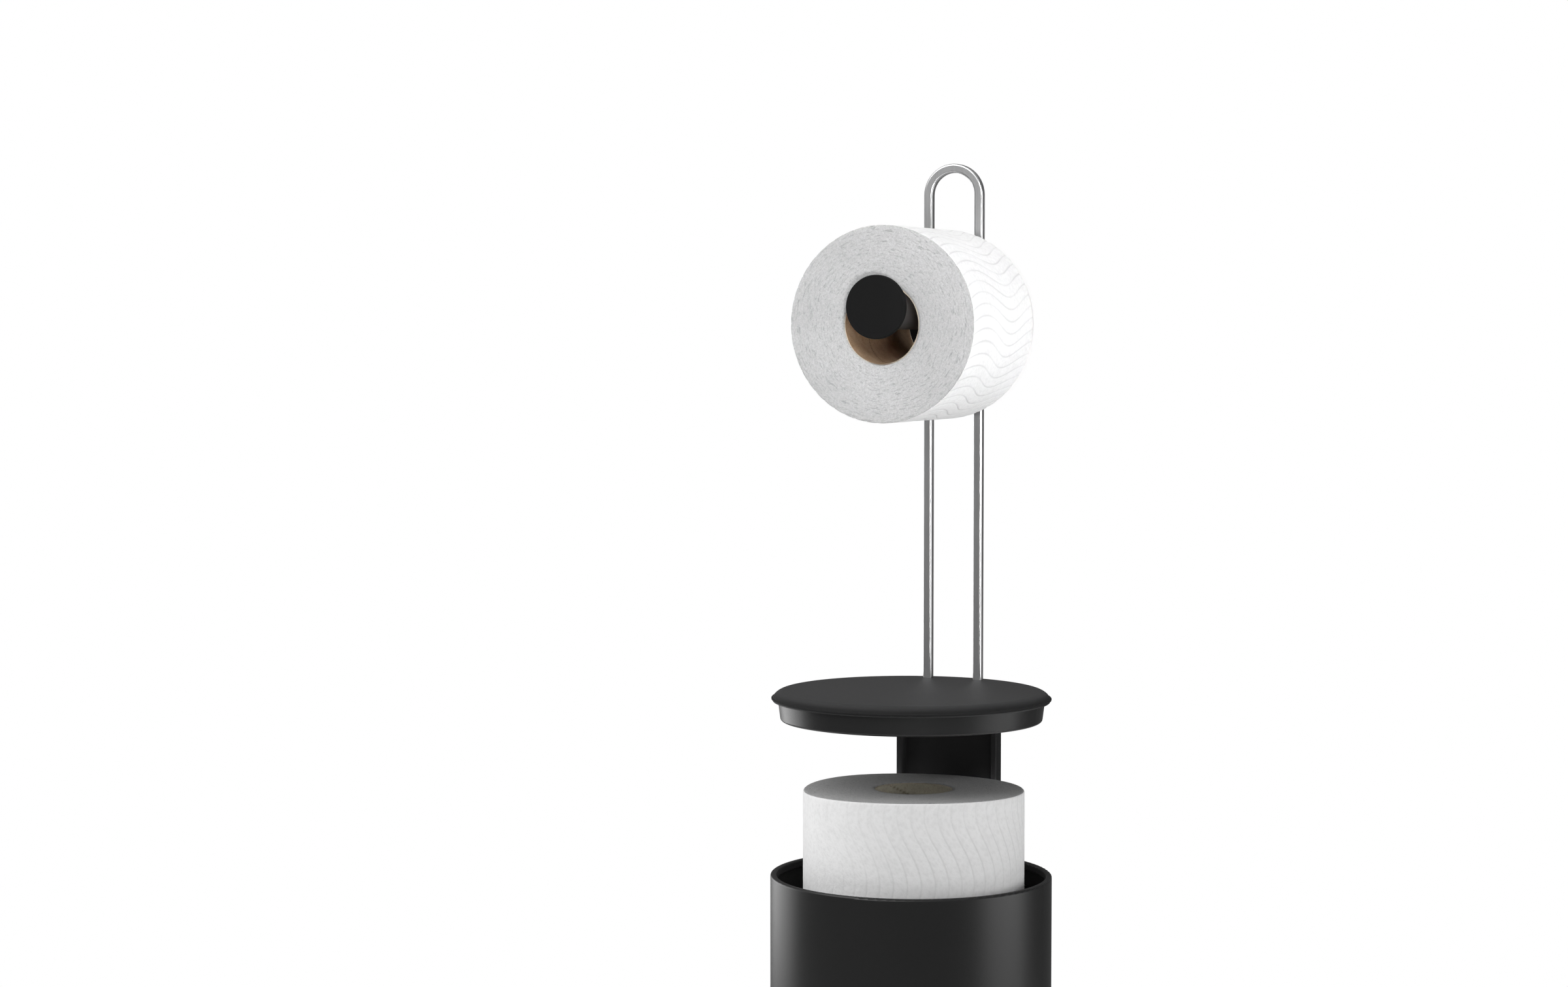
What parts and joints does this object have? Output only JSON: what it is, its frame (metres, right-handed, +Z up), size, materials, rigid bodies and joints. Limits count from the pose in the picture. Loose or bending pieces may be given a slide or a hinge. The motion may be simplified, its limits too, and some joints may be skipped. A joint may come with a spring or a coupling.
{
  "type": "toilet paper stand with roll store",
  "caption": "Free-standing toilet paper holder: roll arm on a tall loop that lifts a lid and a stack of spare rolls out of a round canister.",
  "frame": {"origin": "centre of the underside of the foot ring, on the floor", "axes": "+Z up along the canister's axis; -Y is the front, the way the roll arm points; +X is to the right seen from the front"},
  "size_m": [0.169, 0.169, 0.799],
  "materials": {
    "black_enamel": "satin black stove enamel on steel",
    "black_enamel_lid": "satin black stove enamel on steel",
    "plain_steel": "plain sheet steel",
    "ballast_iron": "rough cast",
    "black_plastic": "fine matt grain",
    "spine_plastic": "satin",
    "rail_plastic": "satin",
    "glide_plastic": "smooth low-friction plastic",
    "foot_rubber": "matt rubber",
    "gasket_rubber": "matt rubber",
    "screw_steel": "plated screws",
    "satin_steel": "satin steel rod",
    "arm_enamel": "satin black enamel on steel tube",
    "cap_black": "matt black",
    "bracket_black": "matt black",
    "mat_foam": "thin foam",
    "edge_felt": "felt strip",
    "core_board": "grey-brown spiral-wound board",
    "tissue": "white embossed tissue, wound"
  },
  "bodies": {
    "canister": {"canister_shell": "black_enamel", "canister_floor": "plain_steel", "ballast_disc": "ballast_iron", "base_cover": "black_plastic", "foot_ring": "foot_rubber", "base_screws": "screw_steel", "guide_rails": "rail_plastic", "stop_pins": "screw_steel"},
    "carriage": {"lid_cover": "black_enamel_lid", "lid_plug": "black_plastic", "lid_gasket": "gasket_rubber", "lid_screws": "screw_steel", "lift_loop": "satin_steel", "carriage_spine": "spine_plastic", "loop_clamp": "black_plastic", "clamp_screws": "screw_steel", "spine_screws": "screw_steel", "lift_tray": "black_plastic", "tray_screws": "screw_steel", "tray_mat": "mat_foam", "tray_felt_edge": "edge_felt", "glide_shoes": "glide_plastic", "roll_arm": "arm_enamel", "arm_end_cap": "cap_black", "arm_bracket_front": "bracket_black", "arm_bracket_rear": "bracket_black", "arm_tie_rod": "screw_steel", "bracket_screws": "screw_steel", "lower_roll_core": "core_board", "lower_roll_paper": "tissue", "middle_roll_core": "core_board", "middle_roll_paper": "tissue", "top_roll_core": "core_board", "top_roll_paper": "tissue"},
    "hanging_roll": {"hanging_roll_core": "core_board", "hanging_roll_paper": "tissue"}
  },
  "joints": [
    {"name": "carriage_lift", "type": "slide", "parent": "canister", "child": "carriage", "axis": [0, 0, 1], "range_m": [-0.1043, 0.2111]},
    {"name": "hanging_roll_spin", "type": "hinge", "parent": "carriage", "child": "hanging_roll", "pos_m": [0, 0.0027, 0.7005], "axis": [0, -1, 0], "continuous": true}
  ]
}
